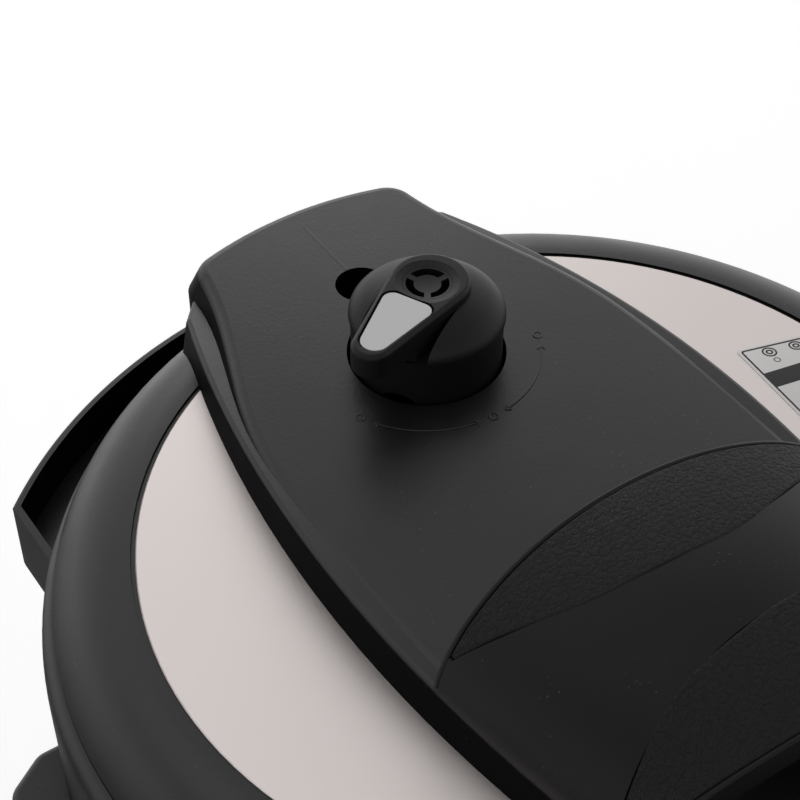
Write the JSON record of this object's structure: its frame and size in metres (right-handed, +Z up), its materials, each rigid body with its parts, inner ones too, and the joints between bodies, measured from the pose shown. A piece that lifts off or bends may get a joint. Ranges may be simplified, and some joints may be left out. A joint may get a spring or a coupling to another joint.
{
  "type": "electric pressure cooker",
  "caption": "Round electric pressure cooker with a bayonet lid, broad lid spine with arched handle, turning steam valve, control panel, side handles and a pull-out drip cup.",
  "frame": {"origin": "on the table under the middle of the cooker", "axes": "+Z up, -Y towards the control panel, X along the lid's spine with the steam valve at its -X end"},
  "size_m": [0.353, 0.33, 0.312],
  "materials": {
    "black_shell": "fine moulded texture, satin",
    "lid_black": "fine moulded texture, satin",
    "grip_black": "smooth satin",
    "grained_pad": "leather-like grain",
    "knob_black": "satin to gloss",
    "dark_plastic": "plain moulding",
    "pale_plastic": "plain moulding",
    "clear_plastic": "clear to smoky plastic",
    "painted_bottom": "black stove paint",
    "foot_rubber": "matt",
    "screw_steel": "zinc plated",
    "brushed_steel": "brushed round the body",
    "disc_steel": "fine satin with circular grain",
    "pot_steel": "polished inside, satin outside",
    "pressed_aluminium": "plain pressed",
    "cast_aluminium": "machined top",
    "element_steel": "oxidised tube",
    "zinc_steel": "zinc coated sheet",
    "spring_steel": "bright wire",
    "pin_steel": "turned",
    "weight_steel": "turned",
    "pin_brass": "nickel-tinted brass",
    "board": "green solder mask",
    "display": "segment display glass",
    "smoked_window": "smoked clear sheet",
    "overlay_film": "membrane film",
    "silicone": "milky silicone",
    "inlay_silver": "silver lacquer"
  },
  "bodies": {
    "base": {"base_skirt": "black_shell", "bottom_plate": "painted_bottom", "rubber_feet": "foot_rubber", "base_screws": "screw_steel", "steel_housing": "brushed_steel", "top_ring": "black_shell", "side_handle_left": "black_shell", "side_handle_right": "black_shell", "side_handle_screws": "screw_steel", "drain_spout": "clear_plastic", "outer_pot": "pressed_aluminium", "inner_pot": "pot_steel", "heating_plate": "cast_aluminium", "heating_element": "element_steel", "plate_bracket": "zinc_steel", "sensor_holder": "zinc_steel", "sensor_spring": "spring_steel", "pressure_switch": "pale_plastic", "power_board": "board", "board_parts": "dark_plastic", "panel_housing": "black_shell", "control_overlay": "overlay_film", "display_window": "smoked_window", "control_board": "board", "display_module": "display", "key_switches": "pale_plastic", "power_inlet": "dark_plastic", "inlet_pins": "pin_brass", "cup_bracket": "black_shell"},
    "thermal_sensor": {"thermal_sensor": "pressed_aluminium"},
    "condensation_cup": {"condensation_cup": "clear_plastic"},
    "lid": {"pressure_lid": "pot_steel", "sealing_ring": "silicone", "seal_rack": "spring_steel", "vent_pipe": "pin_steel", "vent_nut": "screw_steel", "anti_block_shield": "pot_steel", "lid_shell": "lid_black", "steel_disc": "disc_steel", "lid_nuts": "screw_steel", "spine_cover": "lid_black", "handle_screws": "screw_steel", "spine_screws": "screw_steel", "grip_pad_rear": "grained_pad", "grip_pad_front": "grained_pad", "lid_handle": "grip_black", "float_guide": "dark_plastic"},
    "valve_weight": {"valve_weight": "weight_steel"},
    "steam_valve": {"knob_skirt": "knob_black", "knob_cap": "knob_black", "pointer_inlay": "inlay_silver", "vent_cap": "knob_black"},
    "float_valve": {"float_pin": "pin_steel", "float_gasket": "silicone"}
  },
  "joints": [
    {"name": "lid_turn", "type": "hinge", "parent": "base", "child": "lid", "pos_m": [0, 0, 0.238], "axis": [0, 0, 1], "range_deg": [0, 30]},
    {"name": "steam_valve_lift", "type": "slide", "parent": "lid", "child": "valve_weight", "axis": [0, 0, 1], "range_m": [0, 0.02]},
    {"name": "steam_valve_turn", "type": "hinge", "parent": "valve_weight", "child": "steam_valve", "pos_m": [-0.0686, 0, 0.29], "axis": [0, 0, 1], "range_deg": [0, 129]},
    {"name": "float_valve_rise", "type": "slide", "parent": "lid", "child": "float_valve", "axis": [0, 0, 1], "range_m": [0, 0.006]},
    {"name": "thermal_sensor_press", "type": "slide", "parent": "base", "child": "thermal_sensor", "axis": [0, 0, 1], "range_m": [-0.003, 0], "stiffness_N_per_m": 400, "deforming": ["sensor_spring"]},
    {"name": "condensation_cup_slide", "type": "slide", "parent": "base", "child": "condensation_cup", "axis": [0, 1, 0], "range_m": [0, 0.03]}
  ]
}
